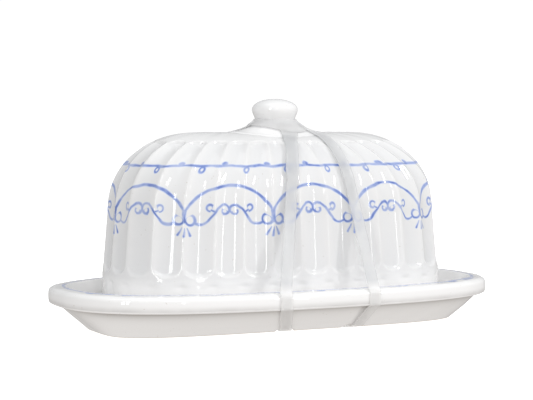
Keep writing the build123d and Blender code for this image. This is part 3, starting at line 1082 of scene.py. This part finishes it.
CAMERA_DISTANCE = 0.7366
CAMERA_AZIMUTH = math.radians(-27.0)
CAMERA_HEIGHT = 0.0959
CAMERA_PITCH = math.radians(3.08)
CAMERA_PAN = math.radians(-0.285)
CAMERA_ROLL = math.radians(0.24)
CAMERA_LENS = 108.7
ROOM_CENTRE = Vector((0, 0, 0.05))
SKY_START = -0.45
SKY_END = 0.6
SKY_DIM = 0.56
SKY_BRIGHT = 0.67
FLOOR_GLOW = 0.27
WARM_LIGHT = (1.0, 0.965, 0.935, 1.0)
COOL_LIGHT = (0.985, 0.99, 1.0, 1.0)
# The floor and backdrop are in millimetres, as the pieces are. The rest of the stage is in metres.
FLOOR_HALF_SIZE = 4000.0
BACKDROP_RADIUS = 3800.0
BACKDROP_FOOT = -5.0
BACKDROP_TOP = 3000.0
BACKDROP_COLUMNS = 64


def add_camera():
    """A camera in front of the object's left half, a little above it and aimed slightly down."""
    data = bpy.data.cameras.new("camera")
    data.lens = CAMERA_LENS
    camera = bpy.data.objects.new("camera", data)
    bpy.context.scene.collection.objects.link(camera)
    back = Vector((math.sin(CAMERA_AZIMUTH), -math.cos(CAMERA_AZIMUTH), 0))
    turn = Matrix.Rotation(CAMERA_AZIMUTH, 3, "Z") @ Matrix.Rotation(math.pi / 2 - CAMERA_PITCH, 3, "X")
    turn = turn @ Matrix.Rotation(-CAMERA_PAN, 3, "Y") @ Matrix.Rotation(CAMERA_ROLL, 3, "Z")
    camera.location = back * CAMERA_DISTANCE + Vector((0, 0, CAMERA_HEIGHT))
    camera.rotation_euler = turn.to_euler()
    bpy.context.scene.camera = camera


def add_area(name, location, target, size, power):
    """A rectangular light that faces the target. Its size is in metres and its power in watts."""
    data = bpy.data.lights.new(name, "AREA")
    data.shape = "RECTANGLE"
    data.size = size[0]
    data.size_y = size[1]
    data.energy = power
    lamp = bpy.data.objects.new(name, data)
    bpy.context.scene.collection.objects.link(lamp)
    lamp.location = location
    lamp.rotation_euler = (Vector(target) - Vector(location)).to_track_quat("-Z", "Y").to_euler()
    return lamp


def add_window(name, location, target, pane, gap, rows, columns, power):
    """A window of several panes, as one area light for each."""
    turn = (Vector(target) - Vector(location)).to_track_quat("-Z", "Y")
    for row in range(rows):
        for column in range(columns):
            across = (column - (columns - 1) / 2) * (pane[0] + gap)
            up = (row - (rows - 1) / 2) * (pane[1] + gap)
            place = Vector(location) + turn @ Vector((across, up, 0))
            lamp = add_area(f"{name}_{row}_{column}", place, place + turn @ Vector((0, 0, -1)), pane, power)
            # Every pane keeps the window's own roll.
            lamp.rotation_euler = turn.to_euler()


def sky_strength(tree):
    """The world's strength in each direction, and how far that direction points up."""
    direction = tree.nodes.new("ShaderNodeTexCoord").outputs["Generated"]
    split = tree.nodes.new("ShaderNodeSeparateXYZ")
    tree.links.new(direction, split.inputs[0])
    up = Field(tree, split.outputs[2])
    behind = Field(tree, split.outputs[1])
    from_below = up.ramp(-0.3, -0.8, 0.0, FLOOR_GLOW)
    strength = (up * 0.8 - behind * 0.45).ramp(SKY_START, SKY_END, SKY_DIM, SKY_BRIGHT)
    return strength + from_below, up


def at_azimuth(degrees, distance, height):
    """A place round the object: 0 degrees is +X and -90 is in front."""
    angle = math.radians(degrees)
    return Vector((distance * math.cos(angle), distance * math.sin(angle), height))


def add_lamps():
    """A soft key from the right, a weak light from the top and four windows round the front."""
    add_area("key", at_azimuth(-46, 1.6, 1.25), ROOM_CENTRE, size=(0.15, 0.5), power=12.0)
    add_area("top", (-0.2, 0.0, 1.6), ROOM_CENTRE, size=(1.2, 0.8), power=2.0)
    windows = [
        # name, degrees, distance, height, pane, gap, rows, columns, power
        ("high_window", -108, 1.25, 1.25, (0.06, 0.2), 0.03, 2, 2, 0.35),
        ("front_window", -101, 1.7, 0.48, (0.08, 0.27), 0.03, 3, 1, 0.55),
        ("right_window", -66, 1.7, 0.48, (0.05, 0.27), 0.03, 3, 1, 0.4),
        ("left_window", -141, 1.7, 0.48, (0.07, 0.27), 0.05, 3, 2, 0.8),
    ]
    for name, degrees, distance, height, pane, gap, rows, columns, power in windows:
        location = at_azimuth(degrees, distance, height)
        add_window(name, location, ROOM_CENTRE, pane, gap, rows, columns, power)


def add_world():
    """An even pale room, a little warmer below, that also stands in for the floor's own light."""
    world = bpy.data.worlds.new("studio")
    world.use_nodes = True
    background = world.node_tree.nodes["Background"]
    strength, up = sky_strength(world.node_tree)
    world.node_tree.links.new(strength.socket, background.inputs["Strength"])
    tint = world.node_tree.nodes.new("ShaderNodeMix")
    tint.data_type = "RGBA"
    tint.inputs[6].default_value = WARM_LIGHT
    tint.inputs[7].default_value = COOL_LIGHT
    world.node_tree.links.new(up.ramp(-0.35, 0.15).socket, tint.inputs["Factor"])
    world.node_tree.links.new(tint.outputs[2], background.inputs["Color"])
    bpy.context.scene.world = world


def add_floor():
    """A plain floor that sends no light to the object: the world gives that light."""
    half = FLOOR_HALF_SIZE
    corners = [(-half, -half, 0), (half, -half, 0), (half, half, 0), (-half, half, 0)]
    floor = add_object("floor", corners, [[0, 1, 2, 3]])
    floor.data.materials.append(floor_material())
    floor.visible_diffuse = False
    floor.visible_glossy = False


def add_backdrop():
    """A white ring far behind, so that the view ends in white. It gives no light."""
    angle = np.arange(BACKDROP_COLUMNS) / BACKDROP_COLUMNS * 2 * np.pi
    rows = [level_ring(BACKDROP_RADIUS, angle, z) for z in (BACKDROP_FOOT, BACKDROP_TOP)]
    backdrop = add_object("backdrop", np.stack(rows), grid_faces(2, BACKDROP_COLUMNS).tolist())
    surface = Surface("backdrop_white")
    surface.colour(surface.mix(surface.noise(900.0).ramp(-0.3, 0.3), (0.0, 0.0, 0.0), (0.01, 0.01, 0.01)))
    surface.set(Emission_Color=(1.0, 1.0, 1.0, 1.0), Emission_Strength=1.0)
    backdrop.data.materials.append(surface.material)
    backdrop.visible_diffuse = False
    backdrop.visible_glossy = False
    backdrop.visible_transmission = False
    backdrop.visible_shadow = False


def place(piece, material, node, slot):
    """Give the piece its material, and hide the frame's part that it stands for."""
    piece.data.materials.clear()
    piece.data.materials.append(material)
    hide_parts(node)


def main():
    """The whole scene, with every piece in its place in the frame."""
    bpy.context.scene.view_settings.view_transform = "Standard"
    add_camera()
    add_lamps()
    add_world()
    add_floor()
    add_backdrop()
    lid = make_lid()
    place(lid, lid_material(), "lid_shell", "lid_glaze")
    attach(lid, "lid")
    knob = make_knob()
    place(knob, knob_material(), "lid_knob", "knob_glaze")
    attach(knob, "lid")
    plate = make_plate()
    place(plate, plate_material(), "plate", "plate_glaze")
    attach(plate, "plate")
    band = make_band()
    place(band, band_material(), "retaining_band", "band")
    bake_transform(band)


main()
